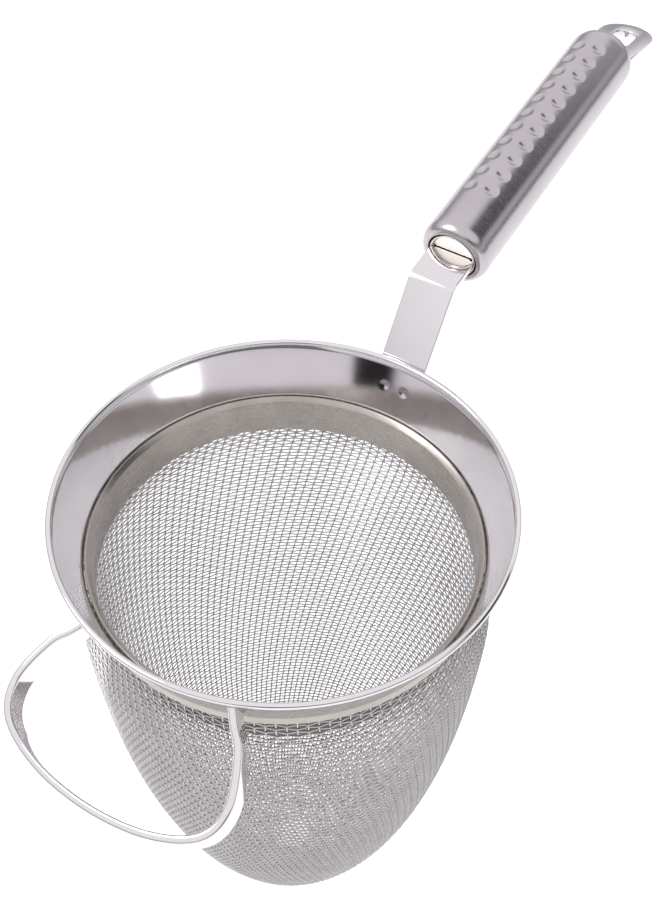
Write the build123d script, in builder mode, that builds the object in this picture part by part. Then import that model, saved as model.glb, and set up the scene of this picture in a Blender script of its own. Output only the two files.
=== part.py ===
"""Deep bullet-shaped tea strainer of woven steel wire with a polished rim funnel,
a rest loop for the pot's edge and a hollow tube handle.

Frame: millimetres, +Z up, +X along the handle. The origin is the centre of the
lip circle, on the axis of the strainer, at the height of the lip's rolled edge.
"""
import math
import os

from build123d import *

os.makedirs("parts", exist_ok=True)

# ---- rim funnel: a spun sheet cone with a rolled lip and a short neck ----
LIP_RADIUS = 60.0            # centre of the rolled edge
LIP_ROLL_RADIUS = 0.85
SHEET = 0.9                  # thickness of the funnel and ring sheet
NECK_INNER_RADIUS = 53.4
NECK_TOP_Z = -15.4
NECK_BOTTOM_Z = -18.0
WELD_MARK_RADIUS = 4.0       # of the welder's rounded tip
WELD_MARK_DEPTH = 0.22       # of the two marks it leaves inside the cone

# ---- clamp ring that traps the mesh inside the neck ----
RING_INNER_RADIUS = 51.4
RING_FLARE_RADIUS = 52.8
RING_TOP_Z = -15.2
RING_BOTTOM_Z = -27.4

# ---- woven bag ----
MESH_THICKNESS = 0.8         # two wires laid across each other
BAG_RADIUS = 57.2            # of the bullet's full width
BAG_BOTTOM_Z = -193.8
BAG_FULLNESS = 2.23          # a larger power keeps the side straight for longer
BAG_NOSE = 1.83              # a larger power makes the nose blunter
BAG_BELLY_SHARE = 0.12       # share of the depth over which the neck blends in
BAG_STEPS = 14

# ---- rest loop: flat bar on edge, dipping outward from the rim ----
LOOP_THICKNESS = 2.2
LOOP_WIDTH = 8.0
LOOP_DIP = 35.0              # slope of the loop's plane below level, degrees
LOOP_LEAN = 20.0             # lean of the bar's faces, degrees
LOOP_ROOT_X = -58.0
LOOP_ROOT_Z = -6.0
LOOP_FOOT_HALF = 22.5
LOOP_HALF = 31.6
LOOP_REACH = 33.0
LOOP_STEPS = 40

# ---- handle ----
HANDLE_SLOPE = 8.0           # rise of the tube, degrees
TUBE_RADIUS = 10.6
TUBE_WALL = 0.8
TUBE_LENGTH = 101.5
TUBE_FRONT = (87.0, 20.8)    # centre of the tube's front plane in X and Z
TUBE_END_ROUND = 3.6
MOUTH_RADIUS = 8.3
DIMPLE_RADIUS = 5.0          # of the round punch, not of the mark it leaves
DIMPLE_DEPTH = 0.5
DIMPLES_PER_ROW = 11
DIMPLE_PITCH = 7.15
DIMPLE_FIRST = 19.2
DIMPLE_ROWS = (-25.0, 12.0, 155.0, 192.0)   # turns about the tube from its top

STRAP_THICKNESS = 2.0
STRAP_WIDTH = 14.2
STRAP_GAP = 0.25             # the weld nuggets hold the foot this far off the cone
STRAP_TAIL = 26.0            # length of the strap inside the tube
STRAP_BEND = (76.3, 19.3)    # X and Z of the bend between rim and tube
TAIL_WIDTH = 11.6
NUGGET_RADIUS = 1.6
NUGGET_HALF_SPACING = 3.2
NUGGET_Z = -7.0

CAP_RIM_SET = 0.5            # the cap's rim sits this far inside the mouth
CAP_RIM_RADIUS = 7.35
CAP_BOWL_RADIUS = 6.35
CAP_BOWL_DEPTH = 0.8
CAP_THICKNESS = 0.9
CAP_SLOT_GAP = 0.35           # play round the plate that passes through a cap

EYE_WIDTH = 18.0
EYE_THICKNESS = 2.4
EYE_REACH = 28.5             # from the tube's rear plane to the tip
EYE_TAIL = 14.0              # length of the eye plate inside the tube
EYE_BEND = 16.0              # how far the eye is bent down from the tube's line
EYE_HOLE_WIDTH = 7.6
EYE_HOLE_START = 10.0
EYE_HOLE_END = 22.5

slope = math.radians(HANDLE_SLOPE)
tube_dir = Vector(math.cos(slope), 0, math.sin(slope))
tube_front = Vector(TUBE_FRONT[0], 0, TUBE_FRONT[1])
tube_rear = tube_front + tube_dir * TUBE_LENGTH
eye_slope = math.radians(HANDLE_SLOPE - EYE_BEND)
eye_dir = Vector(math.cos(eye_slope), 0, math.sin(eye_slope))
eye_up = Vector(-math.sin(eye_slope), 0, math.cos(eye_slope))

# Side view of the object: sketch X is +X of the object, sketch Y is +Z.
side = Plane(origin=(0, 0, 0), x_dir=(1, 0, 0), z_dir=(0, -1, 0))
# The tube's own side view: sketch X runs along the tube from its front plane.
along = Plane(origin=tube_front, x_dir=tube_dir, z_dir=(0, -1, 0))
# Cross section of the tube, with its x axis across the handle.
across = Plane(origin=tube_front, x_dir=(0, 1, 0), z_dir=tube_dir)


def cone_wall(height):
    """Radius of the funnel's inner face at a height below the lip."""
    share = height / NECK_TOP_Z
    return LIP_RADIUS + share * (NECK_INNER_RADIUS - LIP_RADIUS)


# The funnel's lip is rolled over a wire-thin bead, the cone drops to the neck.
with BuildPart() as rim_funnel:
    with BuildSketch(side):
        with BuildLine():
            FilletPolyline(
                (LIP_RADIUS - SHEET / 2, 0),
                (NECK_INNER_RADIUS, NECK_TOP_Z),
                (NECK_INNER_RADIUS, NECK_BOTTOM_Z),
                (NECK_INNER_RADIUS + SHEET, NECK_BOTTOM_Z),
                (NECK_INNER_RADIUS + SHEET, NECK_TOP_Z),
                (LIP_RADIUS + SHEET / 2, 0),
                radius=0.4,
            )
            Line((LIP_RADIUS + SHEET / 2, 0), (LIP_RADIUS - SHEET / 2, 0))
        make_face()
        with Locations((LIP_RADIUS, 0)):
            Circle(LIP_ROLL_RADIUS)
    revolve(axis=Axis.Z)
    mark_x = cone_wall(NUGGET_Z) - SHEET / 2 + WELD_MARK_DEPTH - WELD_MARK_RADIUS
    for mark_y in (-NUGGET_HALF_SPACING, NUGGET_HALF_SPACING):
        with Locations((mark_x, mark_y, NUGGET_Z)):
            Sphere(WELD_MARK_RADIUS, mode=Mode.SUBTRACT)
rim_funnel.part.label = "rim_funnel"

# The ring flares at its top to meet the cone and stands inside the mesh.
with BuildPart() as clamp_ring:
    with BuildSketch(side):
        with BuildLine():
            Polyline(
                (RING_INNER_RADIUS, RING_BOTTOM_Z),
                (RING_INNER_RADIUS + SHEET, RING_BOTTOM_Z),
                (RING_INNER_RADIUS + SHEET, RING_TOP_Z - 1.6),
                (RING_FLARE_RADIUS + 0.3, RING_TOP_Z),
                (RING_FLARE_RADIUS - 0.6, RING_TOP_Z + 0.2),
                (RING_INNER_RADIUS, RING_TOP_Z - 1.2),
                close=True,
            )
        make_face()
    revolve(axis=Axis.Z)
clamp_ring.part.label = "clamp_ring"


def bullet_points(radius, bottom):
    """Half profile of the bag, from the belly below the neck to the nose."""
    depth = bottom - NECK_TOP_Z
    points = []
    for step in range(BAG_STEPS + 1):
        crowded = 1 - (1 - step / BAG_STEPS) ** 2
        share = BAG_BELLY_SHARE + (1 - BAG_BELLY_SHARE) * crowded
        width = (1 - share**BAG_FULLNESS) ** (1 / BAG_NOSE)
        points.append((radius * width, NECK_TOP_Z + depth * share))
    return points


# The bag is a thin wall of revolution: straight in the neck, then a bullet.
bag_top_z = NECK_TOP_Z - 1.6
bag_neck = NECK_INNER_RADIUS - 0.05
with BuildPart() as mesh_bag:
    with BuildSketch(side):
        with BuildLine():
            outer_top = (bag_neck, bag_top_z)
            inner_top = (bag_neck - MESH_THICKNESS, bag_top_z)
            outer_neck = (bag_neck, NECK_BOTTOM_Z)
            inner_neck = (bag_neck - MESH_THICKNESS, NECK_BOTTOM_Z)
            outer_points = bullet_points(BAG_RADIUS, BAG_BOTTOM_Z)
            inner_points = bullet_points(
                BAG_RADIUS - MESH_THICKNESS, BAG_BOTTOM_Z + MESH_THICKNESS
            )
            Line(outer_top, outer_neck)
            Spline(outer_neck, *outer_points)
            Line(outer_points[-1], inner_points[-1])
            Spline(inner_neck, *inner_points)
            Line(inner_neck, inner_top)
            Line(inner_top, outer_top)
        make_face()
    revolve(axis=Axis.Z)
mesh_bag.part.label = "mesh_bag"

# The rest loop is drawn in its own dipping plane and given its width along the
# leaning faces; both feet are cut to the funnel's cone.
dip = math.radians(LOOP_DIP)
lean = math.radians(LOOP_LEAN)
loop_out = Vector(-math.cos(dip), 0, -math.sin(dip))
loop_plane = Plane(
    origin=(LOOP_ROOT_X, 0, LOOP_ROOT_Z),
    x_dir=loop_out,
    z_dir=(-math.sin(dip), 0, math.cos(dip)),
)
width_dir = Vector(math.sin(lean), 0, -math.cos(lean))
half_loop = (
    (-8.0, LOOP_FOOT_HALF - 3.5),
    (-1.0, LOOP_FOOT_HALF + 1.2),
    (4.5, LOOP_FOOT_HALF + 5.4),
    (0.49 * LOOP_REACH, LOOP_HALF),
    (0.76 * LOOP_REACH, 0.90 * LOOP_HALF),
    (0.94 * LOOP_REACH, 0.52 * LOOP_HALF),
    (LOOP_REACH, 0),
)
loop_points = half_loop + tuple((run, -half) for run, half in half_loop[-2::-1])


def beside(curve, distance):
    """Points that run along a flat curve at a distance to one side of it."""
    points = []
    for step in range(LOOP_STEPS + 1):
        run = curve % (step / LOOP_STEPS)
        points.append(curve @ (step / LOOP_STEPS) + Vector(run.Y, -run.X) * distance)
    return points


with BuildPart() as rest_loop:
    with BuildSketch(loop_plane):
        with BuildLine():
            centre = Spline(*loop_points, mode=Mode.PRIVATE)
            faces = [beside(centre, half) for half in (-LOOP_THICKNESS / 2, LOOP_THICKNESS / 2)]
            Spline(*faces[0])
            Spline(*faces[1])
            Line(faces[0][0], faces[1][0])
            Line(faces[0][-1], faces[1][-1])
        make_face()
    extrude(amount=LOOP_WIDTH, dir=width_dir)
    with BuildSketch(side):
        with BuildLine():
            Polyline(
                (0, 2.0),
                (LIP_RADIUS + LIP_ROLL_RADIUS, 2.0),
                (LIP_RADIUS + LIP_ROLL_RADIUS, -0.8),
                (LIP_RADIUS + SHEET / 2 - 0.2, -1.0),
                (NECK_INNER_RADIUS + SHEET, NECK_TOP_Z),
                (NECK_INNER_RADIUS + SHEET, -40.0),
                (0, -40.0),
                close=True,
            )
        make_face()
    revolve(axis=Axis.Z, mode=Mode.SUBTRACT)
rest_loop.part.label = "rest_loop"

# The strap lies down the cone, clears the lip, then turns into the tube. Its
# tail is narrower, so that a shoulder stops against the tube's mouth.
foot_offset = SHEET + STRAP_GAP + STRAP_THICKNESS / 2
foot_top = Vector(cone_wall(-4.5) + foot_offset, -4.5)
foot_low = Vector(cone_wall(-13.8) + foot_offset, -13.8)
tail_end = tube_front + tube_dir * STRAP_TAIL
with BuildPart() as handle_strap:
    with BuildSketch(side):
        with BuildLine():
            FilletPolyline(
                (foot_low.X, foot_low.Y),
                (foot_top.X, foot_top.Y),
                STRAP_BEND,
                (tail_end.X, tail_end.Z),
                radius=3.0,
            )
            offset(amount=STRAP_THICKNESS / 2, side=Side.BOTH)
        make_face()
    extrude(amount=STRAP_WIDTH / 2, both=True)
    with BuildSketch(across):
        Rectangle(STRAP_WIDTH + 2, 4 * STRAP_THICKNESS)
        Rectangle(TAIL_WIDTH, 4 * STRAP_THICKNESS, mode=Mode.SUBTRACT)
    extrude(amount=STRAP_TAIL + 5, mode=Mode.SUBTRACT)
handle_strap.part.label = "handle_strap"

# Two weld nuggets fuse the strap's foot to the cone.
cone_run = Vector(LIP_RADIUS - NECK_INNER_RADIUS, 0, -NECK_TOP_Z).normalized()
cone_out = Vector(cone_run.Z, 0, -cone_run.X)
nugget_base = Vector(cone_wall(NUGGET_Z) + SHEET, 0, NUGGET_Z)
nugget_plane = Plane(
    origin=nugget_base + cone_out * (STRAP_GAP + 0.1),
    x_dir=(0, 1, 0),
    z_dir=cone_out * -1,
)
with BuildPart() as strap_welds:
    with BuildSketch(nugget_plane):
        with Locations((-NUGGET_HALF_SPACING, 0), (NUGGET_HALF_SPACING, 0)):
            Circle(NUGGET_RADIUS)
    extrude(amount=1.2)
    add(rim_funnel.part, mode=Mode.SUBTRACT)
    add(handle_strap.part, mode=Mode.SUBTRACT)
    with BuildSketch(side):
        with BuildLine():
            Polyline(
                (0, 2.0),
                (LIP_RADIUS + SHEET / 2, 0),
                (NECK_INNER_RADIUS + SHEET / 2, NECK_TOP_Z),
                (0, NECK_TOP_Z),
                close=True,
            )
        make_face()
    revolve(axis=Axis.Z, mode=Mode.SUBTRACT)
strap_welds.part.label = "strap_welds"

# The tube is a turned shell with domed ends and open mouths. The dimples are
# shallow pits in rows along the grip.
tube_axis = Axis(tube_front, tube_dir)
with BuildPart() as handle_tube:
    with BuildSketch(along):
        with BuildLine():
            FilletPolyline(
                (0, MOUTH_RADIUS),
                (TUBE_END_ROUND, TUBE_RADIUS),
                (TUBE_LENGTH - TUBE_END_ROUND, TUBE_RADIUS),
                (TUBE_LENGTH, MOUTH_RADIUS),
                radius=5.0,
            )
            FilletPolyline(
                (0, MOUTH_RADIUS - TUBE_WALL),
                (TUBE_END_ROUND + 0.2, TUBE_RADIUS - TUBE_WALL),
                (TUBE_LENGTH - TUBE_END_ROUND - 0.2, TUBE_RADIUS - TUBE_WALL),
                (TUBE_LENGTH, MOUTH_RADIUS - TUBE_WALL),
                radius=4.2,
            )
            Line((0, MOUTH_RADIUS), (0, MOUTH_RADIUS - TUBE_WALL))
            Line((TUBE_LENGTH, MOUTH_RADIUS), (TUBE_LENGTH, MOUTH_RADIUS - TUBE_WALL))
        make_face()
    revolve(axis=tube_axis)
    punch_radius = TUBE_RADIUS + DIMPLE_RADIUS - DIMPLE_DEPTH
    for turn in DIMPLE_ROWS:
        row_angle = math.radians(turn)
        out_dir = Vector(
            -math.sin(slope) * math.cos(row_angle),
            math.sin(row_angle),
            math.cos(slope) * math.cos(row_angle),
        )
        for count in range(DIMPLES_PER_ROW):
            run = DIMPLE_FIRST + count * DIMPLE_PITCH
            with Locations(tube_front + tube_dir * run + out_dir * punch_radius):
                Sphere(DIMPLE_RADIUS, mode=Mode.SUBTRACT)
handle_tube.part.label = "handle_tube"


def cap_points(mouth, inward):
    """Half profile of a cup-shaped cap, from a mouth plane towards the inside."""
    rim = mouth + inward * CAP_RIM_SET
    bowl = rim + inward * CAP_BOWL_DEPTH
    back = bowl + inward * CAP_THICKNESS
    return (
        (rim, CAP_BOWL_RADIUS + 0.2),
        (rim, CAP_RIM_RADIUS),
        (back, CAP_RIM_RADIUS),
        (back, 0),
        (bowl, 0),
        (bowl, CAP_BOWL_RADIUS),
    )


# Both caps are pressed cups with a slot for the plate that passes through.
with BuildPart() as front_cap:
    with BuildSketch(along):
        with BuildLine():
            Polyline(*cap_points(0, 1), close=True)
        make_face()
    revolve(axis=tube_axis)
    with BuildSketch(across):
        Rectangle(TAIL_WIDTH + 2 * CAP_SLOT_GAP, STRAP_THICKNESS + 2 * CAP_SLOT_GAP)
    extrude(amount=8.0, mode=Mode.SUBTRACT)
front_cap.part.label = "front_cap"

with BuildPart() as rear_cap:
    with BuildSketch(along):
        with BuildLine():
            Polyline(*cap_points(TUBE_LENGTH, -1), close=True)
        make_face()
    revolve(axis=tube_axis)
    with BuildSketch(across.offset(TUBE_LENGTH)):
        Rectangle(TAIL_WIDTH + 2 * CAP_SLOT_GAP, EYE_THICKNESS + 2 * CAP_SLOT_GAP)
    extrude(amount=-8.0, mode=Mode.SUBTRACT)
rear_cap.part.label = "rear_cap"

# The hanging eye is one plate: a straight tail in the tube, then a shallow
# bend and a rounded blade with a D-shaped hole.
eye_tip = tube_rear + eye_dir * EYE_REACH
eye_start = tube_rear - tube_dir * EYE_TAIL
eye_face = Plane(origin=tube_rear, x_dir=eye_dir, z_dir=eye_up)
with BuildPart() as hanging_eye:
    with BuildSketch(side):
        with BuildLine():
            FilletPolyline(
                (eye_start.X, eye_start.Z),
                (tube_rear.X, tube_rear.Z),
                (eye_tip.X, eye_tip.Z),
                radius=5.0,
            )
            offset(amount=EYE_THICKNESS / 2, side=Side.BOTH)
        make_face()
    extrude(amount=EYE_WIDTH / 2, both=True)
    with BuildSketch(eye_face):
        with BuildLine():
            blade_end = EYE_REACH - EYE_WIDTH / 2
            Line((-EYE_TAIL - 2, TAIL_WIDTH / 2), (0, TAIL_WIDTH / 2))
            Line((0, TAIL_WIDTH / 2), (2.2, EYE_WIDTH / 2))
            Line((2.2, EYE_WIDTH / 2), (blade_end, EYE_WIDTH / 2))
            ThreePointArc(
                (blade_end, EYE_WIDTH / 2), (EYE_REACH, 0), (blade_end, -EYE_WIDTH / 2)
            )
            Line((blade_end, -EYE_WIDTH / 2), (2.2, -EYE_WIDTH / 2))
            Line((2.2, -EYE_WIDTH / 2), (0, -TAIL_WIDTH / 2))
            Line((0, -TAIL_WIDTH / 2), (-EYE_TAIL - 2, -TAIL_WIDTH / 2))
            Line((-EYE_TAIL - 2, -TAIL_WIDTH / 2), (-EYE_TAIL - 2, TAIL_WIDTH / 2))
        make_face()
    extrude(amount=12.0, both=True, mode=Mode.INTERSECT)
    with BuildSketch(eye_face) as eye_hole:
        hole_arc = EYE_HOLE_END - EYE_HOLE_WIDTH / 2
        with Locations(((EYE_HOLE_START + hole_arc) / 2, 0)):
            Rectangle(hole_arc - EYE_HOLE_START, EYE_HOLE_WIDTH)
        with Locations((hole_arc, 0)):
            Circle(EYE_HOLE_WIDTH / 2)
        fillet(eye_hole.vertices().group_by(Axis.X)[0], radius=1.5)
    extrude(amount=4.0, both=True, mode=Mode.SUBTRACT)
    rims = hanging_eye.edges().filter_by(GeomType.CIRCLE).group_by(Axis.X)[-1]
    fillet(rims, radius=0.6)
hanging_eye.part.label = "hanging_eye"

NODES = (
    rim_funnel, clamp_ring, mesh_bag, rest_loop, handle_strap,
    strap_welds, handle_tube, front_cap, rear_cap, hanging_eye,
)
for node in NODES:
    export_step(node.part, f"parts/{node.part.label}.step")
    print(node.part.label, round(node.part.volume, 1), node.part.is_valid)
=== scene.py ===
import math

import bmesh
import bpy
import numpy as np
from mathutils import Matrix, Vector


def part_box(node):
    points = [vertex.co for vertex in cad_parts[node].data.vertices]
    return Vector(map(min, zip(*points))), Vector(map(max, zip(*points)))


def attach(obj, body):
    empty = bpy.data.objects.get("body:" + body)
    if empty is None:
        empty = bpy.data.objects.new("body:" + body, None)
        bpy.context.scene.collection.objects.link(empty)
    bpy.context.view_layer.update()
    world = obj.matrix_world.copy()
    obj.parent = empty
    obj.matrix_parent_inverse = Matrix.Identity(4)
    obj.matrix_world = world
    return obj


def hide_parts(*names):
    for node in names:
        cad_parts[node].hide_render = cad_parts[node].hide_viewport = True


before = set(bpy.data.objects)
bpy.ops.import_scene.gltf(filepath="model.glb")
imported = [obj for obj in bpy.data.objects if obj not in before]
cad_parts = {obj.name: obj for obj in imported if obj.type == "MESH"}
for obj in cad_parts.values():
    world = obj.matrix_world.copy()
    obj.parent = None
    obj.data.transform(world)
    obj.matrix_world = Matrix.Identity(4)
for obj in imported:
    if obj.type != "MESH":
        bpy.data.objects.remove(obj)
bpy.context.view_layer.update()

# %% [markdown]
# # A deep tea strainer of woven steel wire
# The object is ten pieces of stainless steel: a spun rim funnel, a clamp ring, a bag
# of woven wire, a rest loop for the pot's edge, a strap with two welds, a tube handle
# with a cap at each end, and a hanging eye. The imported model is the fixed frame. It
# gives the sizes, and each piece that shows is built again here with the rounded
# edges, the dents and the weave that catch the light on the real one. The two weld
# nuggets are hardly seen, so they stay as the CAD has them and only get a finish.

MM = 0.001

# %% [markdown]
# Lengths are written in millimetres, as a maker would, and turned to metres once.
# The lip and the depths are read from the frame, so the looks can't drift away from
# the CAD. The radii that no bounding box shows are the CAD's own driving values.

# %% Driving sizes
LIP_BEAD = 0.85
LIP_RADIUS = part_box("rim_funnel")[1].x / MM - LIP_BEAD
NECK_RADIUS = 53.4  # inside of the neck
NECK_TOP = -15.4  # where the cone turns down into the neck
NECK_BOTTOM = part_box("rim_funnel")[0].z / MM
SHEET = 0.9  # thickness of the sheet that the rim and the ring are made of
RING_RADIUS = 51.4
RING_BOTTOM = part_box("clamp_ring")[0].z / MM
BAG_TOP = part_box("mesh_bag")[1].z / MM
BAG_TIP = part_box("mesh_bag")[0].z / MM
BAG_RADIUS = 57.2
BAG_FULLNESS = 2.23  # higher keeps the bag wide for longer
BAG_NOSE = 1.83  # higher makes the nose blunter
TUBE_SLOPE = math.radians(8.0)
TUBE_RADIUS = 10.6
TUBE_LENGTH = 101.5
TUBE_FRONT = Vector((87.0, 0.0, 20.8))
STRAP_THICK, STRAP_WIDE, TAIL_WIDE = 2.0, 14.2, 11.6
EYE_WIDE, EYE_THICK, EYE_REACH, EYE_TAIL = 18.0, 2.4, 28.5, 14.0
tube_dir = Vector((math.cos(TUBE_SLOPE), 0, math.sin(TUBE_SLOPE)))
tube_up = Vector((-math.sin(TUBE_SLOPE), 0, math.cos(TUBE_SLOPE)))
UP = Vector((0, 0, 1))
OUT = Vector((1, 0, 0))
print("lip radius", round(LIP_RADIUS, 2), "bag from", round(BAG_TOP, 1), "to", round(BAG_TIP, 1))

# %% [markdown]
# Every finish is a node material. One small function adds a node with its settings
# and its links, and one turns a hex colour as it is seen into the linear colour
# that the shader works in.

# %% Material helpers


def linear(hex_colour):
    """A colour as it is seen, such as C8C4C6, turned to linear light."""
    parts = [int(hex_colour[i : i + 2], 16) / 255 for i in (0, 2, 4)]
    return [p / 12.92 if p <= 0.04045 else ((p + 0.055) / 1.055) ** 2.4 for p in parts] + [1]


def add(tree, kind, settings=None, **links):
    """A node of a kind, with its settings by attribute and its inputs by name or place."""
    node = tree.nodes.new(kind)
    for key, value in (settings or {}).items():
        setattr(node, key, value)
    for key, value in links.items():
        if key.startswith("i") and key[1:].isdigit():
            socket = node.inputs[int(key[1:])]
        else:
            socket = node.inputs[key.replace("_", " ")]
        if isinstance(value, bpy.types.NodeSocket):
            tree.links.new(value, socket)
        else:
            socket.default_value = value
    return node


def steel(name, pale, deep, blotch_mm, grain_mm, turned, rough, bump):
    """Stainless steel: a metal whose tone drifts a little over blotch_mm, with a grain
    that is grain_mm long along X, Y and Z of the frame it was polished in."""
    material = bpy.data.materials.new(name)
    material.use_nodes = True
    tree = material.node_tree
    tree.nodes.clear()
    place = add(tree, "ShaderNodeTexCoord")
    turn = add(
        tree,
        "ShaderNodeMapping",
        {"vector_type": "TEXTURE"},
        Vector=place.outputs["Object"],
        Rotation=turned,
    )
    blotch = add(
        tree,
        "ShaderNodeTexNoise",
        Vector=place.outputs["Object"],
        Scale=1 / (blotch_mm * MM),
        Detail=3.0,
    )
    stretch = add(
        tree,
        "ShaderNodeMapping",
        Vector=turn.outputs[0],
        Scale=[1 / (length * MM) for length in grain_mm],
    )
    grain = add(tree, "ShaderNodeTexNoise", Vector=stretch.outputs[0], Scale=1.0, Detail=4.0)
    tone = add(
        tree,
        "ShaderNodeMix",
        {"data_type": "RGBA"},
        Factor=blotch.outputs[0],
        i6=linear(pale),
        i7=linear(deep),
    )
    gloss = add(
        tree,
        "ShaderNodeMapRange",
        Value=grain.outputs[0],
        To_Min=rough[0],
        To_Max=rough[1],
    )
    relief = add(
        tree,
        "ShaderNodeBump",
        Height=grain.outputs[0],
        Strength=bump[0],
        Distance=bump[1] * MM,
    )
    shader = add(
        tree,
        "ShaderNodeBsdfPrincipled",
        Metallic=1.0,
        Base_Color=tone.outputs[2],
        Roughness=gloss.outputs[0],
        Normal=relief.outputs[0],
    )
    add(tree, "ShaderNodeOutputMaterial", Surface=shader.outputs[0])
    return material


# %% [markdown]
# Every piece is the same 18/8 stainless steel, worked in six ways. Steel has no
# colour of its own beyond a pale warm grey, so the finishes differ in how sharp a
# picture of the room they give and in which way their grain runs. A grain that is
# too fine to see one scratch at a time is drawn coarser than it is.

# %% The six finishes
LEVEL = (0.0, 0.0, 0.0)
TUBE_TURN = (0.0, -TUBE_SLOPE, 0.0)

# Sheet and bar buffed on a wheel: a mirror with a faint orange-peel swell, so that
# straight edges in it waver a little.
mirror_steel = steel(
    "Buffed_stainless_sheet",
    "EAE6EA",
    "DEDADE",
    blotch_mm=35,
    grain_mm=(9, 9, 9),
    turned=LEVEL,
    rough=(0.03, 0.08),
    bump=(0.05, 0.02),
)

# The cone is spun and then polished on the lathe: a mirror that is a little softer
# than the bar, so the mesh across from it melts into a grey sheen.
funnel_steel = steel(
    "Spun_stainless_cone",
    "EAE6EA",
    "DEDADE",
    blotch_mm=30,
    grain_mm=(9, 9, 9),
    turned=LEVEL,
    rough=(0.07, 0.1),
    bump=(0.04, 0.02),
)

# Sheet as it comes from the rolls: a dull, slightly yellow grey with faint level
# streaks. The clamp ring, the outside of the cone and the welds keep it.
rolled_steel = steel(
    "Rolled_stainless_sheet",
    "BDB7B2",
    "A19B95",
    blotch_mm=9,
    grain_mm=(4, 4, 0.4),
    turned=LEVEL,
    rough=(0.22, 0.34),
    bump=(0.12, 0.02),
)

# The caps are pressed and tumbled: an even, creamy satin that shows no picture.
satin_steel = steel(
    "Satin_stainless_cap",
    "E6E1D8",
    "D8D2C8",
    blotch_mm=5,
    grain_mm=(0.5, 0.5, 0.5),
    turned=LEVEL,
    rough=(0.3, 0.42),
    bump=(0.1, 0.01),
)

# The tube is brushed while it turns, so its fine scratches run round it and pull each
# reflection out along its length.
brushed_steel = steel(
    "Lathe_brushed_stainless",
    "C9C3C8",
    "B8B2B7",
    blotch_mm=14,
    grain_mm=(0.22, 5, 5),
    turned=TUBE_TURN,
    rough=(0.17, 0.32),
    bump=(0.6, 0.03),
)

# Drawn wire is bright but scratched by the die: each wire gives a short soft glint.
wire_steel = steel(
    "Drawn_stainless_wire",
    "CFCCCE",
    "B4B0B3",
    blotch_mm=6,
    grain_mm=(0.7, 0.7, 0.7),
    turned=LEVEL,
    rough=(0.16, 0.3),
    bump=(0.1, 0.01),
)
finishes = (mirror_steel, funnel_steel, rolled_steel, satin_steel, brushed_steel, wire_steel)
print("finishes:", [finish.name for finish in finishes])

# %% [markdown]
# A spun or turned piece is a closed outline carried round an axis. The outline is a
# list of points (distance along the axis, radius), and the mesh goes round in even
# steps. Rounded corners are cut into the outline first, because a corner without a
# radius shows no bright line.

# %% Outlines, turned points and finished pieces
MERGE = 1e-6  # points closer than this, in metres, are one point


def rounded(points, radius, closed=True, steps=4):
    """The same outline with its corners rounded off, in a few steps for each corner."""
    points = [Vector(p) for p in points]
    count = len(points)
    out = []
    for k, corner in enumerate(points):
        if not closed and k in (0, count - 1):
            out.append(corner)
            continue
        before = points[k - 1] - corner
        after = points[(k + 1) % count] - corner
        bend = math.pi - before.angle(after)
        cut = min(radius * math.tan(bend / 2), before.length * 0.48, after.length * 0.48)
        start = corner + before.normalized() * cut
        end = corner + after.normalized() * cut
        for step in range(steps + 1):
            t = step / steps
            out.append((start * (1 - t) + corner * t) * (1 - t) + (corner * (1 - t) + end * t) * t)
    return out


def finish_mesh(name, vertices, faces, material, sharp=math.radians(40)):
    """A mesh object from points in millimetres, with clean seams and faces outwards."""
    mesh = bpy.data.meshes.new(name)
    mesh.from_pydata([tuple(v) for v in np.asarray(vertices) * MM], [], faces)
    work = bmesh.new()
    work.from_mesh(mesh)
    bmesh.ops.remove_doubles(work, verts=work.verts, dist=MERGE)
    bmesh.ops.recalc_face_normals(work, faces=work.faces)
    work.to_mesh(mesh)
    work.free()
    mesh.shade_smooth()
    mesh.set_sharp_from_angle(angle=sharp)
    mesh.materials.append(material)
    thing = bpy.data.objects.new(name, mesh)
    bpy.context.scene.collection.objects.link(thing)
    return thing


def grid_faces(rows, columns, close_rows, close_columns):
    """Quads over a grid of points that is stored row by row."""
    faces = []
    for r in range(rows if close_rows else rows - 1):
        for c in range(columns if close_columns else columns - 1):
            r2, c2 = (r + 1) % rows, (c + 1) % columns
            faces.append((r * columns + c, r * columns + c2, r2 * columns + c2, r2 * columns + c))
    return faces


def turned(outline, segments, centre, along, out):
    """Points of an outline turned round an axis, as an array (segments, points, 3)."""
    side = along.cross(out)
    angle = np.linspace(0, 2 * math.pi, segments, endpoint=False)[:, None, None]
    shape = np.array([(p[0], p[1]) for p in outline])[None]
    ring = np.cos(angle) * np.array(out) + np.sin(angle) * np.array(side)
    return np.array(centre) + shape[..., :1] * np.array(along) + shape[..., 1:] * ring


def show(thing, slot, *nodes):
    """Rides a finished piece on the frame in place of its CAD node."""
    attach(thing, "root")
    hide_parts(*nodes)
    print(thing.name, len(thing.data.polygons), "faces")


# %% [markdown]
# The rim funnel is one disc of sheet, spun over a former. Its lip is rolled to a
# bead so that it doesn't cut, and a short straight neck takes the mesh. The cone is
# fine enough for the two shallow pits that the spot welder's tips leave inside it.

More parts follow.
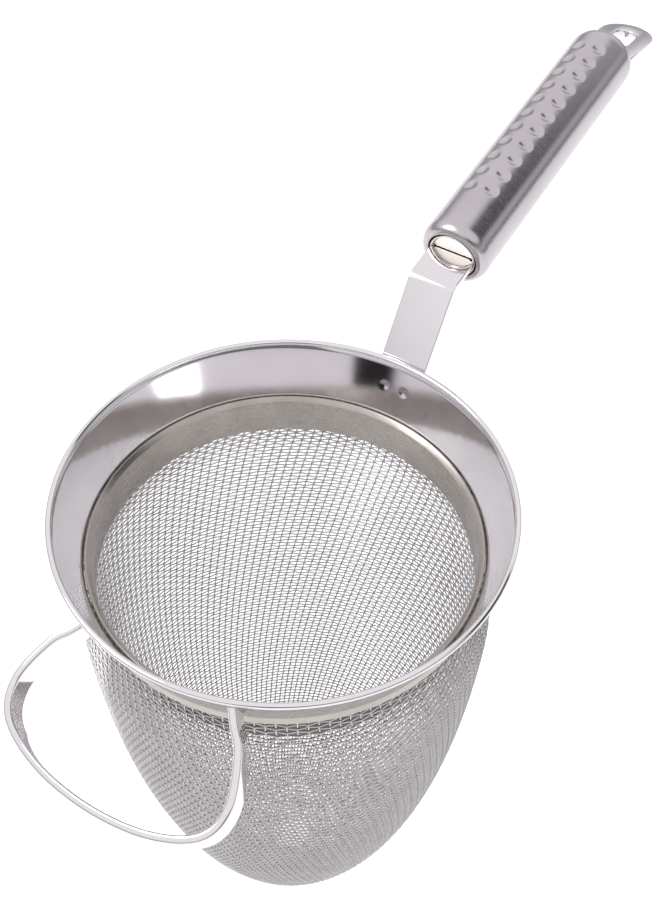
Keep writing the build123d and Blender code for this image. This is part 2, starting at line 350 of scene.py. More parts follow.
# %% Outline of the funnel
FUNNEL_SEGMENTS = 720
LIP_INSET = 0.45  # the cone meets the bead this far inside the lip
CONE_STEPS, BEAD_STEPS = 36, 14
BEAD_FROM, BEAD_SWEEP = -50, 280  # degrees of the rolled bead
cone = [
    (-z, LIP_RADIUS - LIP_INSET - (LIP_RADIUS - NECK_RADIUS - LIP_INSET) * z / -NECK_TOP)
    for z in np.linspace(1.2, -NECK_TOP - 0.6, CONE_STEPS)
]
bead = []
for step in range(BEAD_STEPS + 1):
    turn = math.radians(BEAD_FROM + BEAD_SWEEP * step / BEAD_STEPS)
    bead.append((LIP_BEAD * math.sin(turn), LIP_RADIUS + LIP_BEAD * math.cos(turn)))
outside = [(-1.0, LIP_RADIUS + 0.4), (NECK_TOP + 0.5, NECK_RADIUS + SHEET + 0.12)]
neck_out = [(NECK_TOP - 0.5, NECK_RADIUS + SHEET), (NECK_BOTTOM + 0.1, NECK_RADIUS + SHEET)]
neck_in = [(NECK_BOTTOM, NECK_RADIUS + 0.5), (NECK_BOTTOM + 0.1, NECK_RADIUS)]
neck_blend = [(NECK_TOP - 0.6, NECK_RADIUS), (NECK_TOP - 0.1, NECK_RADIUS + 0.05)]
outline = cone[::-1] + bead[::-1] + outside + neck_out + neck_in + neck_blend
points = turned(outline, FUNNEL_SEGMENTS, (0, 0, 0), UP, OUT)
print("the funnel's outline has", len(outline), "points")

# %% [markdown]
# Two round tips pressed the sheet together when the strap was spot-welded on. They
# left two pits in the cone, less than a tenth of a millimetre deep. A mirror makes
# much of so little: each pit bends the picture in it into a small ring.

# %% Weld pits and the finished funnel
WELD_Z, WELD_HALF, WELD_PIT, WELD_DEPTH = -7.0, 3.2, 1.5, 0.07
for side in (-WELD_HALF, WELD_HALF):
    away = np.hypot(points[..., 1] - side, points[..., 2] - WELD_Z)
    inner = np.hypot(points[..., 0], points[..., 1]) < LIP_RADIUS - 0.4 + points[..., 2] * 0.2
    pit = np.clip(1 - (away / WELD_PIT) ** 2, 0, 1) ** 1.5 * inner * (points[..., 0] > 0)
    points[..., 0] += WELD_DEPTH * pit
faces = grid_faces(FUNNEL_SEGMENTS, len(outline), True, True)
funnel = finish_mesh("Rim_funnel", points.reshape(-1, 3), faces, funnel_steel)
funnel.data.materials.append(rolled_steel)
for face in funnel.data.polygons:
    outward = face.normal.x * face.center.x + face.normal.y * face.center.y
    face.material_index = int(outward > 0 and face.center.z < -1.5 * MM)
show(funnel, "polished_steel", "rim_funnel")

# %% [markdown]
# The clamp ring is a strip of sheet bent round and welded to a hoop. Its top edge
# is folded out over the edge of the mesh, which makes the bright line at its top.

# %% Clamp ring
RING_SEGMENTS, RING_EDGE = 360, 0.3
outline = rounded(
    [
        (RING_BOTTOM, RING_RADIUS),
        (RING_BOTTOM, RING_RADIUS + SHEET),
        (NECK_TOP - 1.2, RING_RADIUS + SHEET),
        (NECK_TOP + 0.2, NECK_RADIUS - 0.15),
        (NECK_TOP + 0.5, NECK_RADIUS - 0.7),
        (NECK_TOP - 0.8, RING_RADIUS),
    ],
    RING_EDGE,
)
points = turned(outline, RING_SEGMENTS, (0, 0, 0), UP, OUT)
faces = grid_faces(RING_SEGMENTS, len(outline), True, True)
ring = finish_mesh("Clamp_ring", points.reshape(-1, 3), faces, rolled_steel)
show(ring, "satin_steel", "clamp_ring")

# %% [markdown]
# The bag is plain-woven wire, pressed over a bullet-shaped former. Pressing skews
# the cloth: the wires that go round rise and fall, and the ones that go down lean
# over. Towards the nose the cloth is gathered, and every second wire stops.
# Each crossing is worked out first: which side each wire takes, and which way is
# outwards. Geometry Nodes then carries a round wire along every line.

# %% The bag's wall
WIRE = 0.5  # a little thicker than the real wire, so that it shows
COLUMN_PITCH = 2.6  # between fall wires at the neck, about twice the real cloth's
CLOSEST_PITCH = 0.79  # where they would come closer, every second one stops
ROW_PITCH = 1.34  # between the wires that go round
LEAN = 0.22  # how far the fall wires lean, as a share of the way down
SWELL = 7.0  # how far the rings rise and fall, twice round the bag
SWELL_AZIMUTH = math.radians(215)
NECK_BLEND = 24.0  # the wall runs from the neck into the bullet over this depth
bag_depth = BAG_TIP - NECK_TOP


def bag_radius(z):
    """Middle radius of the woven wall at a height."""
    share = np.clip((np.asarray(z, float) - NECK_TOP) / bag_depth, 0, 1)
    bullet = (BAG_RADIUS - 0.4) * (1 - share**BAG_FULLNESS) ** (1 / BAG_NOSE)
    neck = NECK_RADIUS - 0.45
    blend = np.clip((NECK_BOTTOM - np.asarray(z, float)) / NECK_BLEND, 0, 1)
    blend = blend * blend * (3 - 2 * blend)
    return neck + (bullet - neck) * blend


dense = np.linspace(BAG_TOP, BAG_TIP + 0.45, 6000)
run = np.concatenate([[0], np.cumsum(np.hypot(np.diff(dense), np.diff(bag_radius(dense))))])
print("the wall runs", round(run[-1], 1), "mm from neck to nose")


def wall_point(distance, angle):
    """Points and outward directions at a run down the wall and an azimuth."""
    z = np.interp(distance, run, dense)
    r = bag_radius(z)
    slope = (bag_radius(z - 0.05) - bag_radius(z + 0.05)) / 0.1
    point = np.stack([r * np.cos(angle), r * np.sin(angle), z], -1)
    normal = np.stack([np.cos(angle), np.sin(angle), slope], -1)
    return point, normal / np.linalg.norm(normal, axis=-1, keepdims=True)


# %% [markdown]
# Rings start a little above the neck, so that their low parts begin right at it. The
# number of fall wires at the neck divides by two again and again, because half of
# them stop each time they would come too close.

# %% Crossings of the weave
FEWEST_WIRES = 16
NOSE_GAP = 1.5  # what the last ring leaves open at the tip
rows = []
distance = -SWELL
while distance < run[-1] - NOSE_GAP:
    reach = float(bag_radius(np.interp(max(distance, 0), run, dense)))
    rows.append((distance, reach))
    distance += ROW_PITCH
around_neck = 2 * math.pi * NECK_RADIUS
wires_round = FEWEST_WIRES * round(around_neck / COLUMN_PITCH / FEWEST_WIRES)
counts = []
count = wires_round
for distance, reach in rows:
    while 2 * math.pi * reach / count < CLOSEST_PITCH and count > FEWEST_WIRES:
        count //= 2
    counts.append(count)
print(len(rows), "rings and", wires_round, "wires at the neck,", counts[-1], "at the nose")

crossings = []
for (distance, reach), count in zip(rows, counts):
    turn = np.arange(count) / count * 2 * math.pi
    turn = turn + LEAN * max(distance, 0) / NECK_RADIUS
    swell = SWELL * min(1.0, reach / NECK_RADIUS) ** 3
    down = distance + swell * np.cos(2 * (turn - SWELL_AZIMUTH))
    point, normal = wall_point(np.clip(down, 0, run[-1]), turn)
    crossings.append((point, normal, down))

# %% [markdown]
# The lines of each family are kept as plain edges with two attributes: the outward
# direction, and the side that the wire passes on. A wire that would stand above the
# neck is cut off there.

# %% Tools for the lines of the weave


def line_mesh(name, lines):
    """Edges along lines of (point, normal, side), with the last two as attributes."""
    flat = [entry for line, _ in lines for entry in line]
    edges, first = [], 0
    for line, closed in lines:
        size = len(line)
        edges += [(first + k, first + k + 1) for k in range(size - 1)]
        if closed:
            edges.append((first + size - 1, first))
        first += size
    mesh = bpy.data.meshes.new(name)
    mesh.from_pydata([tuple(p * MM) for p, _, _ in flat], edges, [])
    outward = mesh.attributes.new("outward", "FLOAT_VECTOR", "POINT")
    outward.data.foreach_set("vector", np.array([n for _, n, _ in flat], np.float32).ravel())
    passing = mesh.attributes.new("passing", "FLOAT", "POINT")
    passing.data.foreach_set("value", np.array([s for _, _, s in flat], np.float32))
    thing = bpy.data.objects.new(name, mesh)
    bpy.context.scene.collection.objects.link(thing)
    return thing


def split_lines(entries, closed):
    """Runs of entries that lie below the neck's edge, as lines."""
    kept = [e[3] for e in entries]
    if all(kept):
        return [([e[:3] for e in entries], closed)]
    if closed:
        gap = kept.index(False)
        entries = entries[gap:] + entries[:gap]
    lines, line = [], []
    for e in entries:
        if e[3]:
            line.append(e[:3])
        elif line:
            lines.append((line, False))
            line = []
    if line:
        lines.append((line, False))
    return [(part, False) for part, _ in lines if len(part) > 1]


# %% [markdown]
# In a plain weave each wire goes over one and under the next. So the side changes at
# every crossing along a wire, and the other family takes the other side there.

# %% Lines of the weave
ring_lines, fall_lines = [], []
for i, (point, normal, down) in enumerate(crossings):
    entries = [
        (point[j], normal[j], 1.0 if (i + j) % 2 else -1.0, down[j] > 0.05)
        for j in range(counts[i])
    ]
    ring_lines += split_lines(entries, True)
for j in range(wires_round):
    entries, index = [], j
    for i, (point, normal, down) in enumerate(crossings):
        if i and counts[i] != counts[i - 1]:
            if index % 2:
                break
            index //= 2
        side = -1.0 if (i + index) % 2 else 1.0
        entries.append((point[index], normal[index], side, down[index] > 0.05))
    fall_lines += split_lines(entries, False)
print(len(ring_lines), "lines round the bag and", len(fall_lines), "down it")

# %% [markdown]
# The node tree is short. Each crossing is pushed out or in by the crimp, the edges
# become curves, and a small round section is carried along them. A crossing needs
# only one point, because the wire is straight between two crossings.

# %% The wire tree


def wire_tree():
    """Geometry Nodes that turn lines with 'outward' and 'passing' into crimped wire."""
    tree = bpy.data.node_groups.new("Crimped_wire", "GeometryNodeTree")
    face = tree.interface
    face.new_socket("Lines", in_out="INPUT", socket_type="NodeSocketGeometry")
    face.new_socket("Wire radius", in_out="INPUT", socket_type="NodeSocketFloat")
    face.new_socket("Crimp", in_out="INPUT", socket_type="NodeSocketFloat")
    face.new_socket("Sides", in_out="INPUT", socket_type="NodeSocketInt")
    face.new_socket("Finish", in_out="INPUT", socket_type="NodeSocketMaterial")
    face.new_socket("Wire", in_out="OUTPUT", socket_type="NodeSocketGeometry")
    given = add(tree, "NodeGroupInput").outputs
    outward = add(
        tree, "GeometryNodeInputNamedAttribute", {"data_type": "FLOAT_VECTOR"}, Name="outward"
    )
    passing = add(tree, "GeometryNodeInputNamedAttribute", {"data_type": "FLOAT"}, Name="passing")
    amount = add(
        tree, "ShaderNodeMath", {"operation": "MULTIPLY"}, i0=passing.outputs[0], i1=given["Crimp"]
    )
    push = add(
        tree,
        "ShaderNodeVectorMath",
        {"operation": "SCALE"},
        i0=outward.outputs[0],
        Scale=amount.outputs[0],
    )
    crimped = add(tree, "GeometryNodeSetPosition", Geometry=given["Lines"], Offset=push.outputs[0])
    curve = add(tree, "GeometryNodeMeshToCurve", Mesh=crimped.outputs[0])
    section = add(
        tree, "GeometryNodeCurvePrimitiveCircle", Resolution=given["Sides"], Radius=given["Wire radius"]
    )
    wire = add(
        tree, "GeometryNodeCurveToMesh", Curve=curve.outputs[0], Profile_Curve=section.outputs[0]
    )
    wire.inputs["Fill Caps"].default_value = True
    smooth = add(tree, "GeometryNodeSetShadeSmooth", Geometry=wire.outputs[0])
    real = add(tree, "GeometryNodeRealizeInstances", Geometry=smooth.outputs[0])
    finish = add(tree, "GeometryNodeSetMaterial", Geometry=real.outputs[0], Material=given["Finish"])
    add(tree, "NodeGroupOutput", Wire=finish.outputs[0])
    return tree


crimped_wire = wire_tree()

# %% [markdown]
# The tree is run over a share of the lines at a time, so that no piece is too heavy,
# and the result is kept as a plain mesh. A wire with five sides looks round enough
# at this size.

# %% Woven wire
WIRE_POINTS = 16000
WIRE_SIDES = 5


def weave(name, lines):
    """Runs the wire tree over some lines and keeps the result as a plain mesh."""
    source = line_mesh(name + "_lines", lines)
    nodes = source.modifiers.new("Wire", "NODES")
    nodes.node_group = crimped_wire
    wanted = {
        "Wire radius": WIRE / 2 * MM,
        "Crimp": WIRE / 2 * MM,
        "Sides": WIRE_SIDES,
        "Finish": wire_steel,
    }
    for item in crimped_wire.interface.items_tree:
        if item.name in wanted and item.in_out == "INPUT":
            nodes[item.identifier] = wanted[item.name]
    source.update_tag()
    made = bpy.data.meshes.new_from_object(
        source.evaluated_get(bpy.context.evaluated_depsgraph_get())
    )
    bpy.data.objects.remove(source)
    made.name = name
    made.shade_smooth()
    thing = bpy.data.objects.new(name, made)
    bpy.context.scene.collection.objects.link(thing)
    return thing


def in_shares(lines, share):
    """Lines in groups of about that many points, so that no piece is too heavy."""
    groups, size = [[]], 0
    for line in lines:
        if size + len(line[0]) > share:
            groups.append([])
            size = 0
        groups[-1].append(line)
        size += len(line[0])
    return groups


for family, lines in (("round", ring_lines), ("down", fall_lines)):
    for number, group in enumerate(in_shares(lines, WIRE_POINTS)):
        cloth = weave(f"Wire_{family}_{number + 1}", group)
        show(cloth, "woven_wire", "mesh_bag")

# %% [markdown]
# The rest loop is flat bar with rolled edges, bent on its wide side and welded to
# the cone by its two feet. The bar's section is a rounded rectangle carried along
# a smooth curve; the feet stop inside the thickness of the cone.

# %% Path of the rest loop
LOOP_THICK, LOOP_WIDE = 2.2, 8.0
LOOP_EDGE = 0.8
LOOP_ROOT = Vector((-58.0, 0, -6.0))
DIP, LOOP_LEAN = math.radians(35), math.radians(20)  # of the loop's plane, and of the bar
loop_out = Vector((-math.cos(DIP), 0, -math.sin(DIP)))
loop_down = Vector((math.sin(LOOP_LEAN), 0, -math.cos(LOOP_LEAN)))
half_loop = [  # distance out from the cone and to one side, from a foot to the middle
    (-8.0, 19.0),
    (-1.0, 23.7),
    (4.5, 27.9),
    (16.2, 31.6),
    (25.1, 28.4),
    (31.0, 16.4),
    (33.0, 0),
]
knots = [LOOP_ROOT + loop_out * a + Vector((0, b, 0)) for a, b in half_loop]
knots += [Vector((k.x, -k.y, k.z)) for k in knots[-2::-1]]


def smooth_path(knots, per_span):
    """A rounded path through knots: a Catmull-Rom curve, which passes through each one."""
    ends = [knots[0] * 2 - knots[1]] + knots + [knots[-1] * 2 - knots[-2]]
    path = []
    for a, b, c, d in zip(ends, ends[1:], ends[2:], ends[3:]):
        for step in range(per_span):
            t = step / per_span
            path.append(
                (b * 2 + (c - a) * t + (a * 2 - b * 5 + c * 4 - d) * t**2
                 + (b * 3 - a - c * 3 + d) * t**3) / 2
            )
    return path + [knots[-1]]


def bar_section(thick, wide, radius):
    """A rounded rectangle about its centre, as (across, along the width)."""
    x, y = thick / 2, wide / 2
    return rounded([(-x, -y), (x, -y), (x, y), (-x, y)], radius, steps=5)


# %% [markdown]
# The section is carried along the path, square to it. Each foot is then moved out
# until it lies in the cone's sheet, as if it had been ground to fit before welding.

# %% Rest loop
PATH_STEPS = 14
path = smooth_path(knots, PATH_STEPS)
section = bar_section(LOOP_THICK, LOOP_WIDE, LOOP_EDGE)
flat = loop_out.cross(Vector((0, 1, 0)))
points = []
for k, place in enumerate(path):
    going = (path[min(k + 1, len(path) - 1)] - path[max(k - 1, 0)]).normalized()
    across = going.cross(flat).normalized()
    centre = place + loop_down * LOOP_WIDE / 2
    points += [centre + across * s[0] + loop_down * s[1] for s in section]
points = np.array(points)
reach = np.hypot(points[:, 0], points[:, 1])
rise = (points[:, 2] - NECK_TOP) / -NECK_TOP
wall = NECK_RADIUS + SHEET * 0.6 + (LIP_RADIUS - NECK_RADIUS) * rise
push = np.maximum(1.0, wall / reach)
points[:, 0] *= push
points[:, 1] *= push
size = len(section)
faces = grid_faces(len(path), size, False, True)
faces += [tuple(range(size)), tuple(range(len(points) - size, len(points)))]
loop = finish_mesh("Rest_loop", points, faces, mirror_steel)
show(loop, "polished_steel", "rest_loop")

# %% [markdown]
# The strap is a strip cut from sheet and folded twice. It lies along the outside of
# the cone, where it is welded, then stands off past the lip, and then turns into the
# tube. The folds keep a radius of about one and a half thicknesses, and the strip is
# narrower where it enters the tube.

# %% Handle strap
WELD_GAP = 0.25  # the nuggets hold the foot this far off the cone
STRAP_FOOT, STRAP_HEEL = -13.8, -4.5  # heights where the strap lies along the cone
STRAP_BEND = Vector((76.3, 0, 19.3))
STRAP_TAIL = 26.0
BEND_RADIUS, STRAP_EDGE = 3.2, 0.35
foot_offset = SHEET + WELD_GAP + STRAP_THICK / 2


def beside_cone(z):
    """The middle of the strap where it lies along the cone, at a height."""
    inner = LIP_RADIUS + z / NECK_TOP * (NECK_RADIUS - LIP_RADIUS)
    return Vector((inner + foot_offset, 0, z))


tail_end = TUBE_FRONT + tube_dir * STRAP_TAIL
corners = [beside_cone(STRAP_FOOT), beside_cone(STRAP_HEEL), STRAP_BEND, tail_end]
path = rounded(corners, BEND_RADIUS, closed=False, steps=8)
path[-1:-1] = [TUBE_FRONT, TUBE_FRONT + tube_dir * 0.1]
points = []
for k, place in enumerate(path):
    going = (path[min(k + 1, len(path) - 1)] - path[max(k - 1, 0)]).normalized()
    above = Vector((0, 1, 0)).cross(going)
    inside = (place - TUBE_FRONT).dot(tube_dir) > 0.05
    wide = TAIL_WIDE if inside else STRAP_WIDE
    for s in bar_section(STRAP_THICK, wide, STRAP_EDGE):
        points.append(place + above * s[0] + Vector((0, s[1], 0)))
size = len(points) // len(path)
faces = grid_faces(len(path), size, False, True)
faces += [tuple(range(size)), tuple(range(len(points) - size, len(points)))]
strap = finish_mesh("Handle_strap", points, faces, mirror_steel, math.radians(50))
show(strap, "polished_steel", "handle_strap")
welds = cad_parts["strap_welds"]
welds.data.materials.clear()
welds.data.materials.append(rolled_steel)

# %% [markdown]
# The handle is a thin tube, drawn in at both ends so that each mouth is narrower
# than the grip. Rows of round dents are punched in to keep wet fingers from
# slipping. The wall is turned like the funnel, and each dent is a shallow bowl
# pressed into the outer face.

# %% Outline of the tube
TUBE_SEGMENTS = 200
MOUTH = 8.3
WALL = 0.8
END_ROUND = 3.6
GRIP_STEPS = 236  # close steps along the grip, so that the dents come out round


def tube_end(at, inward, steps=9):
    """A quarter-round end from the mouth to the full radius of the grip."""
    end = []
    for step in range(steps):
        turn = math.pi / 2 * step / (steps - 1)
        rise = (TUBE_RADIUS - MOUTH) * math.sin(turn)
        end.append((at + inward * END_ROUND * (1 - math.cos(turn)), MOUTH + rise))
    return end


front_end = tube_end(0, 1)
rear_end = tube_end(TUBE_LENGTH, -1)[::-1]
grip_from, grip_to = END_ROUND + 0.4, TUBE_LENGTH - END_ROUND - 0.4
grip = [(x, TUBE_RADIUS) for x in np.linspace(grip_from, grip_to, GRIP_STEPS)]
front_lip = [(1.3, MOUTH - 0.7), (0.4, MOUTH - 0.75), (-0.02, MOUTH - 0.45)]
rear_lip = [(TUBE_LENGTH - x, r) for x, r in front_lip[::-1]]
lining = [(TUBE_LENGTH - END_ROUND, TUBE_RADIUS - WALL), (END_ROUND, TUBE_RADIUS - WALL)]
outline = front_lip + front_end + grip + rear_end + rear_lip + lining
points = turned(outline, TUBE_SEGMENTS, TUBE_FRONT, tube_dir, tube_up)
print("the tube's outline has", len(outline), "points")

# %% [markdown]
# A dent is a bowl that fades out at its edge. Its depth is worked out for every point
# of the tube from the distance to the dent's middle, measured on the unrolled wall,
# and the point is pushed towards the tube's axis. The lining stays where it is.

# %% Dents and the finished tube
DENT_REACH, DENT_DEPTH, DENT_SOFTNESS = 2.35, 0.75, 1.25
DENT_ROWS = [math.radians(a) for a in (-25.0, 12.0, 155.0, 192.0)]
DENTS, DENT_FIRST, DENT_PITCH = 11, 19.2, 7.15
first = len(front_lip)
last = first + len(front_end) + len(grip) + len(rear_end)
outer = np.zeros(len(outline))
outer[first:last] = 1
runs = np.array([p[0] for p in outline])[None]
angle = np.linspace(0, 2 * math.pi, TUBE_SEGMENTS, endpoint=False)[:, None]
axis_points = np.array(TUBE_FRONT) + runs[..., None] * np.array(tube_dir)
spoke = (points - axis_points) / np.linalg.norm(points - axis_points, axis=-1, keepdims=True)
for row in DENT_ROWS:
    bend = np.angle(np.exp(1j * (angle - row))) * TUBE_RADIUS
    for count in range(DENTS):
        away = np.hypot(bend, runs - DENT_FIRST - count * DENT_PITCH) / DENT_REACH
        bowl = DENT_DEPTH * np.clip(1 - away**2, 0, 1) ** DENT_SOFTNESS * outer
        points -= spoke * bowl[..., None]
faces = grid_faces(TUBE_SEGMENTS, len(outline), True, True)
tube = finish_mesh("Handle_tube", points.reshape(-1, 3), faces, brushed_steel)
show(tube, "satin_steel", "handle_tube")

# %% [markdown]
# A cap closes each mouth. It is a small pressed cup: a bright rolled rim, then a
# bowl with a flat satin floor. The strap or the eye goes through a slot in it, and
# the play round the plate shows as a thin dark line. A box cuts the slot: a Boolean
# modifier takes it away, and the result is kept as a plain mesh.

# %% Caps
CAP_SEGMENTS, CAP_EDGE = 128, 0.25
SLOT_PLAY = 0.35
CUT_LENGTH = 6.0
CAP_CUP = [(2.9, 0.01), (2.9, 7.35), (0.1, 7.2), (0.1, 6.7), (0.75, 6.35), (0.8, 0.01)]


def cut_slot(cap, centre, wide, high):
    """Cuts a slot through a cap, square to the tube."""
    work = bmesh.new()
    bmesh.ops.create_cube(work, size=2.0)
    for v in work.verts:
        along = tube_dir * (v.co.x * CUT_LENGTH * MM)
        across = Vector((0, v.co.y * wide / 2 * MM, 0))
        v.co = centre * MM + along + across + tube_up * (v.co.z * high / 2 * MM)
    box = bpy.data.meshes.new("Slot_cutter")
    work.to_mesh(box)
    work.free()
    cutter = bpy.data.objects.new("Slot_cutter", box)
    bpy.context.scene.collection.objects.link(cutter)
    cut = cap.modifiers.new("Slot", "BOOLEAN")
    cut.operation = "DIFFERENCE"
    cut.solver = "EXACT"
    cut.object = cutter
    uncut = cap.data
    cap.data = bpy.data.meshes.new_from_object(
        cap.evaluated_get(bpy.context.evaluated_depsgraph_get())
    )
    cap.modifiers.remove(cut)
    cap.data.set_sharp_from_angle(angle=math.radians(40))
    bpy.data.objects.remove(cutter)
    bpy.data.meshes.remove(uncut)


for name, node, at, inward, plate in (
    ("Front_cap", "front_cap", 0.0, 1, STRAP_THICK),
    ("Rear_cap", "rear_cap", TUBE_LENGTH, -1, EYE_THICK),
):
    outline = [(at + inward * p[0], max(p[1], 0.0)) for p in rounded(CAP_CUP, CAP_EDGE)]
    points = turned(outline, CAP_SEGMENTS, TUBE_FRONT, tube_dir, tube_up)
    faces = grid_faces(CAP_SEGMENTS, len(outline), True, True)
    cap = finish_mesh(name, points.reshape(-1, 3), faces, satin_steel)
    centre = TUBE_FRONT + tube_dir * at
    cut_slot(cap, centre, TAIL_WIDE + 2 * SLOT_PLAY, plate + 2 * SLOT_PLAY)
    show(cap, "satin_steel", node)

# %% [markdown]
# The hanging eye is a plate about as thick as a coin, with a rounded blade and a
# D-shaped hole. A flat filled curve is the quickest way to a plate with a hole, and
# the curve's own bevel gives it soft edges.

# %% Outline of the hanging eye
HOLE_WIDE, HOLE_START, HOLE_END, HOLE_CORNER = 7.6, 10.0, 22.5, 1.8
EYE_EDGE = 0.45
SHOULDER = 2.2  # the blade reaches its full width this far behind the tube


def round_end(reach, half, steps=24):
    """A half circle that ends at a reach, from one side to the other."""
    turns = [math.pi / 2 - math.pi * k / steps for k in range(steps + 1)]
    return [(reach - half + half * math.cos(t), half * math.sin(t)) for t in turns]


half = EYE_WIDE / 2 - EYE_EDGE
tail = TAIL_WIDE / 2 - EYE_EDGE
blade = [(-EYE_TAIL, -tail), (-EYE_TAIL, tail), (0, tail), (SHOULDER, half)]
blade += round_end(EYE_REACH - EYE_EDGE, half) + [(SHOULDER, -half), (0, -tail)]
hole_half = HOLE_WIDE / 2 + EYE_EDGE
hole_from, hole_to = HOLE_START - EYE_EDGE, HOLE_END - hole_half
square_end = [(hole_to, -hole_half), (hole_from, -hole_half), (hole_from, hole_half)]
square_end = rounded(square_end + [(hole_to, hole_half)], HOLE_CORNER, closed=False)
hole = [tuple(p) for p in square_end[1:-1]] + round_end(HOLE_END + EYE_EDGE, hole_half)

# %% [markdown]
# The outline and the hole are two closed lines of one flat curve, which fills the
# ground between them. Its thickness comes from the curve's extrusion and bevel, and
# the result is kept as a mesh, because a curve can't be bent by its points.

# %% Flat plate of the eye
flat_curve = bpy.data.curves.new("Eye_outline", "CURVE")
flat_curve.dimensions = "2D"
flat_curve.fill_mode = "BOTH"
flat_curve.extrude = (EYE_THICK / 2 - EYE_EDGE) * MM
flat_curve.bevel_depth = EYE_EDGE * MM
flat_curve.bevel_resolution = 3
for outline in (blade, hole):
    spline = flat_curve.splines.new("POLY")
    spline.points.add(len(outline) - 1)
    for spot, place in zip(spline.points, outline):
        spot.co = (place[0] * MM, place[1] * MM, 0, 1)
    spline.use_cyclic_u = True
shape = bpy.data.objects.new("Eye_outline", flat_curve)
bpy.context.scene.collection.objects.link(shape)
plate = bpy.data.meshes.new_from_object(
    shape.evaluated_get(bpy.context.evaluated_depsgraph_get())
)
bpy.data.objects.remove(shape)
print("the flat eye has", len(plate.polygons), "faces")

# %% [markdown]
# The plate leaves the tube along its axis and is then bent down a little. It is cut
# across near the bend first, because a mesh can only fold where it has edges. Each
# point is then placed along a direction that turns from the tube's to the blade's.

# %% Hanging eye
EYE_BEND = math.radians(16)
BEND_HALF = 1.5
eye_slope = TUBE_SLOPE - EYE_BEND
eye_dir = Vector((math.cos(eye_slope), 0, math.sin(eye_slope)))
eye_up = Vector((-math.sin(eye_slope), 0, math.cos(eye_slope)))
tube_rear = TUBE_FRONT + tube_dir * TUBE_LENGTH
work = bmesh.new()
work.from_mesh(plate)
bmesh.ops.remove_doubles(work, verts=work.verts, dist=MERGE)
for cut in (-BEND_HALF, -BEND_HALF / 3, BEND_HALF / 3, BEND_HALF):
    everything = list(work.verts) + list(work.edges) + list(work.faces)
    bmesh.ops.bisect_plane(work, geom=everything, plane_co=(cut * MM, 0, 0), plane_no=(1, 0, 0))
for v in work.verts:
    share = min(max((v.co.x / MM + BEND_HALF) / (2 * BEND_HALF), 0), 1)
    going = tube_dir.lerp(eye_dir, share).normalized()
    above = tube_up.lerp(eye_up, share).normalized()
    v.co = tube_rear * MM + going * v.co.x + Vector((0, v.co.y, 0)) + above * v.co.z
bmesh.ops.recalc_face_normals(work, faces=work.faces)
work.to_mesh(plate)
work.free()
plate.name = "Hanging_eye"
plate.shade_smooth()
plate.set_sharp_from_angle(angle=math.radians(35))
plate.materials.clear()
plate.materials.append(mirror_steel)
eye = bpy.data.objects.new("Hanging_eye", plate)
bpy.context.scene.collection.objects.link(eye)
show(eye, "polished_steel", "hanging_eye")

# %% [markdown]
# The strainer is shown hanging over a plain floor of matt white paper. The paper is
# lit from behind as well, as on a light table, so no shadow falls on it.

# %% Floor
FLOOR_DROP, FLOOR_SIZE = -0.62, 6.0  # metres
work = bmesh.new()
bmesh.ops.create_grid(work, x_segments=1, y_segments=1, size=FLOOR_SIZE)
floor_mesh = bpy.data.meshes.new("Floor")
work.to_mesh(floor_mesh)
work.free()
paper = bpy.data.materials.new("Pale_paper_floor")
paper.use_nodes = True
paper_tree = paper.node_tree
fibre = add(paper_tree, "ShaderNodeTexNoise", Scale=3.0)
paper_tone = add(
    paper_tree,
    "ShaderNodeMix",
    {"data_type": "RGBA"},
    Factor=fibre.outputs[0],
    i6=linear("FDFDFD"),
    i7=linear("FAFAFA"),
)
paper_shader = paper_tree.nodes["Principled BSDF"]
paper_tree.links.new(paper_tone.outputs[2], paper_shader.inputs["Base Color"])
paper_shader.inputs["Roughness"].default_value = 0.9
paper_shader.inputs["Emission Color"].default_value = linear("FFFFFF")
paper_shader.inputs["Emission Strength"].default_value = 0.35
floor = bpy.data.objects.new("Floor", floor_mesh)
floor.location.z = FLOOR_DROP
floor_mesh.materials.append(paper)
bpy.context.scene.collection.objects.link(floor)

# %% [markdown]
# Polished steel shows the room, so the room makes most of the picture. It is white
# all round and grey low down, with a few dark flags, such as stand beside polished
# pans to give them an edge. A flag here is a soft-edged patch of the world's colour,
# worked out from the direction that is looked in.

# %% Patches of the room
world = bpy.data.worlds.new("White_room")
bpy.context.scene.world = world
world.use_nodes = True
room = world.node_tree
room.nodes.clear()
look = add(room, "ShaderNodeTexCoord").outputs["Generated"]


def patch(direction, low, high, start=0.0, end=1.0, mirrored=False):
    """Eases from start to end while a direction comes into view from low to high, where
    0 is square to it and 1 straight at it. Mirrored counts both ends of it alike."""
    toward = Vector(direction).normalized()
    view = add(room, "ShaderNodeVectorMath", {"operation": "DOT_PRODUCT"}, i0=look, i1=toward)
    seen = view.outputs["Value"]
    if mirrored:
        seen = add(room, "ShaderNodeMath", {"operation": "ABSOLUTE"}, i0=seen).outputs[0]
    eased = add(
        room,
        "ShaderNodeMapRange",
        {"interpolation_type": "SMOOTHSTEP"},
        Value=seen,
        From_Min=low,
        From_Max=high,
        To_Min=start,
        To_Max=end,
    )
    return eased.outputs[0]


STRIP_END = 0.745  # how far the strips reach towards the rear of the handle


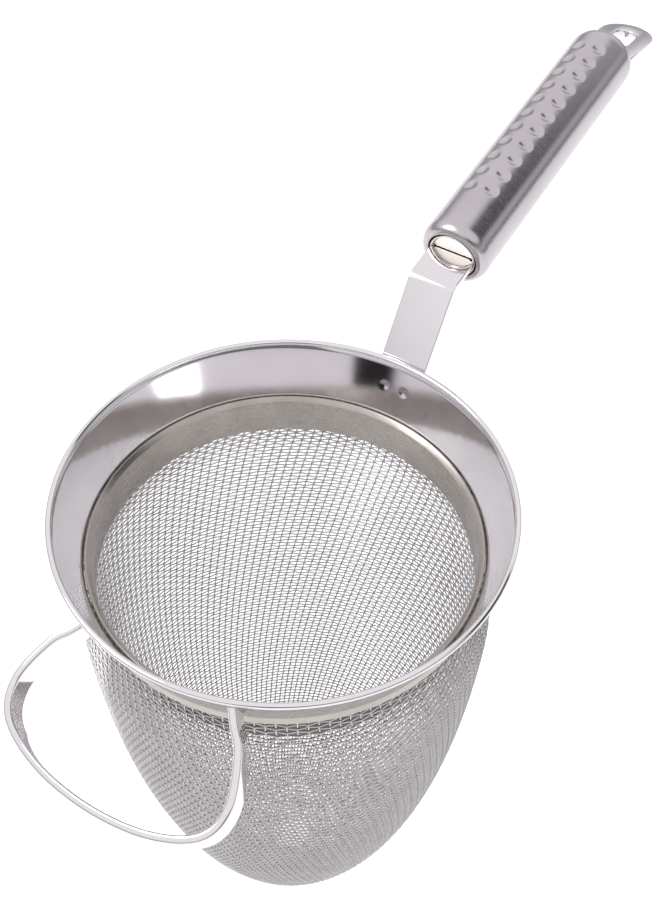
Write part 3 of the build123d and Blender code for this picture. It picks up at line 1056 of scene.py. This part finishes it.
def strip(turn, half, edge):
    """A long flag beside the tube, turned from overhead, in degrees: 1 inside it."""
    lean = math.radians(turn)
    toward = tube_up * math.cos(lean) - Vector((0, math.sin(lean), 0))
    across = tube_dir.cross(toward)
    low, high = math.sin(math.radians(half)), math.sin(math.radians(half + edge))
    width = patch(across, low, high, 1.0, 0.0, mirrored=True)
    front = patch(toward, 0.0, 0.1)
    length = patch(tube_dir, STRIP_END, STRIP_END + 0.02, 1.0, 0.0)
    side = add(room, "ShaderNodeMath", {"operation": "MULTIPLY"}, i0=width, i1=front)
    whole = add(room, "ShaderNodeMath", {"operation": "MULTIPLY"}, i0=side.outputs[0], i1=length)
    return whole.outputs[0]


# %% [markdown]
# The low horizon is grey. One dark flag stands so low beyond the loop that only its
# top shows over the floor. Three long ones lie beside the handle: a grey one for its
# whole right side, a dark one for the stripe along it, and a narrow pale card for
# the glint.

# %% Room light
horizon = patch(UP, 0.02, 0.5, 1.0, 0.0)
left_flag = patch((-0.88, 0.34, -0.34), 0.9, 0.96)
dark_strip = add(
    room,
    "ShaderNodeMath",
    {"operation": "MULTIPLY"},
    i0=strip(44, 12, 18),
    i1=patch(tube_dir, 0.4, 0.5),
)
colour = linear("FFFFFF")
for deep, amount in (
    ("A9A6AB", horizon),
    ("0E0E10", left_flag),
    ("77787A", strip(112, 46, 8)),
    ("1A181B", dark_strip.outputs[0]),
    ("D5DADA", strip(80, 4, 6)),
):
    mix = add(
        room,
        "ShaderNodeMix",
        {"data_type": "RGBA"},
        Factor=amount,
        i6=colour,
        i7=linear(deep),
    )
    colour = mix.outputs[2]
lit = add(room, "ShaderNodeBackground", Color=colour, Strength=1.0)
plain = add(room, "ShaderNodeBackground", Color=linear("FFFFFF"), Strength=1.0)
path_kind = add(room, "ShaderNodeLightPath")
mixed = add(
    room,
    "ShaderNodeMixShader",
    Fac=path_kind.outputs["Is Camera Ray"],
    i1=lit.outputs[0],
    i2=plain.outputs[0],
)
add(room, "ShaderNodeOutputWorld", Surface=mixed.outputs[0])

# %% [markdown]
# One soft lamp stands high on the loop's side, to the left of the handle. It gives
# the bright patch on the cone and a small highlight on the tube's rounded end.

# %% Key softbox
KEY_PLACE, KEY_AIM = Vector((-0.5, 0.7, 0.9)), Vector((0, 0, -0.05))
key = bpy.data.lights.new("Key_softbox", "AREA")
key.shape = "SQUARE"
key.size = 0.6
key.energy = 6.0
key_lamp = bpy.data.objects.new("Key_softbox", key)
key_lamp.location = KEY_PLACE
key_lamp.rotation_euler = (KEY_AIM - KEY_PLACE).to_track_quat("-Z", "Y").to_euler()
bpy.context.scene.collection.objects.link(key_lamp)

# %% [markdown]
# The camera looks down into the bag from the side of the rest loop, with the handle
# running away from it.

# %% Camera
CAMERA_PLACE = Vector((-0.16786, -0.11706, 0.24462))
CAMERA_RIGHT = Vector((0.53145, -0.84706, 0.00743))
CAMERA_UP = Vector((0.62427, 0.39757, 0.67247))
FOCAL_LENGTH, SENSOR = 49.53, 36.0
lens = bpy.data.cameras.new("Camera")
lens.lens = FOCAL_LENGTH
lens.sensor_width = SENSOR
lens.clip_start = 0.01
camera = bpy.data.objects.new("Camera", lens)
right = CAMERA_RIGHT.normalized()
back = right.cross(CAMERA_UP).normalized()
up = back.cross(right)
turn = Matrix((right, up, back)).transposed().to_4x4()
camera.matrix_world = Matrix.Translation(CAMERA_PLACE) @ turn
bpy.context.scene.collection.objects.link(camera)
bpy.context.scene.camera = camera
bpy.context.scene.view_settings.view_transform = "Standard"
